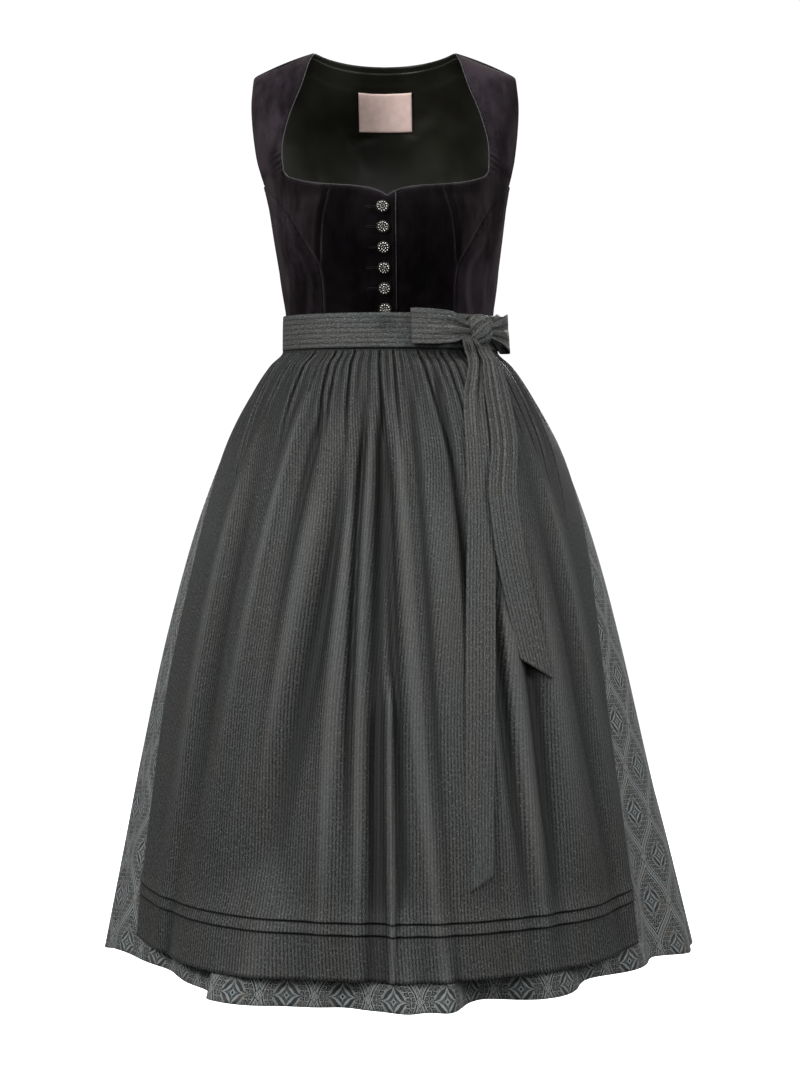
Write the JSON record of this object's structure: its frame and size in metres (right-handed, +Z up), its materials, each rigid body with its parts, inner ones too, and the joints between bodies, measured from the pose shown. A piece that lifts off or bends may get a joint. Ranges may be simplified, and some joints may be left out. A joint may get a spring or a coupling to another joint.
{
  "type": "dirndl with apron",
  "caption": "Sleeveless velvet dirndl with buttoned bodice, gathered patterned skirt and a striped apron tied in a side bow, filled out and hollow.",
  "frame": {"origin": "midway between the two shoulder straps, level with the tops of the shoulders, where a wearer's shoulders or a form's carry the garment", "axes": "+Z up from hem to shoulders, the front faces -Y, +X towards the wearer's left"},
  "size_m": [0.7302, 0.6962, 1.0986],
  "materials": {
    "velvet": "cotton velvet with a soft nap, black aubergine",
    "lining": "satin lining, black green",
    "label": "woven label, blank, mauve taupe",
    "piping": "satin piping, dark grey",
    "jacquard": "matt jacquard, grey teal medallions on a dark ground",
    "apron": "fine striped cloth with a faint sheen, dark grey green",
    "tie": "apron cloth with its stripes along the length, dark grey green",
    "button": "antique pewter, embossed"
  },
  "bodies": {
    "root": {"front_right": "velvet", "front_left": "velvet", "side_front_right": "velvet", "side_front_left": "velvet", "back_centre": "velvet", "side_back_right": "velvet", "side_back_left": "velvet", "back_lining": "lining", "label": "label", "piping_front_right": "piping", "piping_front_left": "piping", "piping_back": "piping", "skirt_front": "jacquard", "skirt_back": "jacquard", "apron_panel": "apron", "waistband": "tie", "tie_left_front": "tie", "tie_right_front": "tie", "tie_right_back": "tie", "tie_left_back": "tie", "bow_knot": "tie", "bow_loop_right": "tie", "bow_loop_left": "tie", "tie_end_long": "tie", "tie_end_short": "tie", "button_1": "button", "button_2": "button", "button_3": "button", "button_4": "button", "button_5": "button", "button_6": "button"}
  },
  "joints": []
}
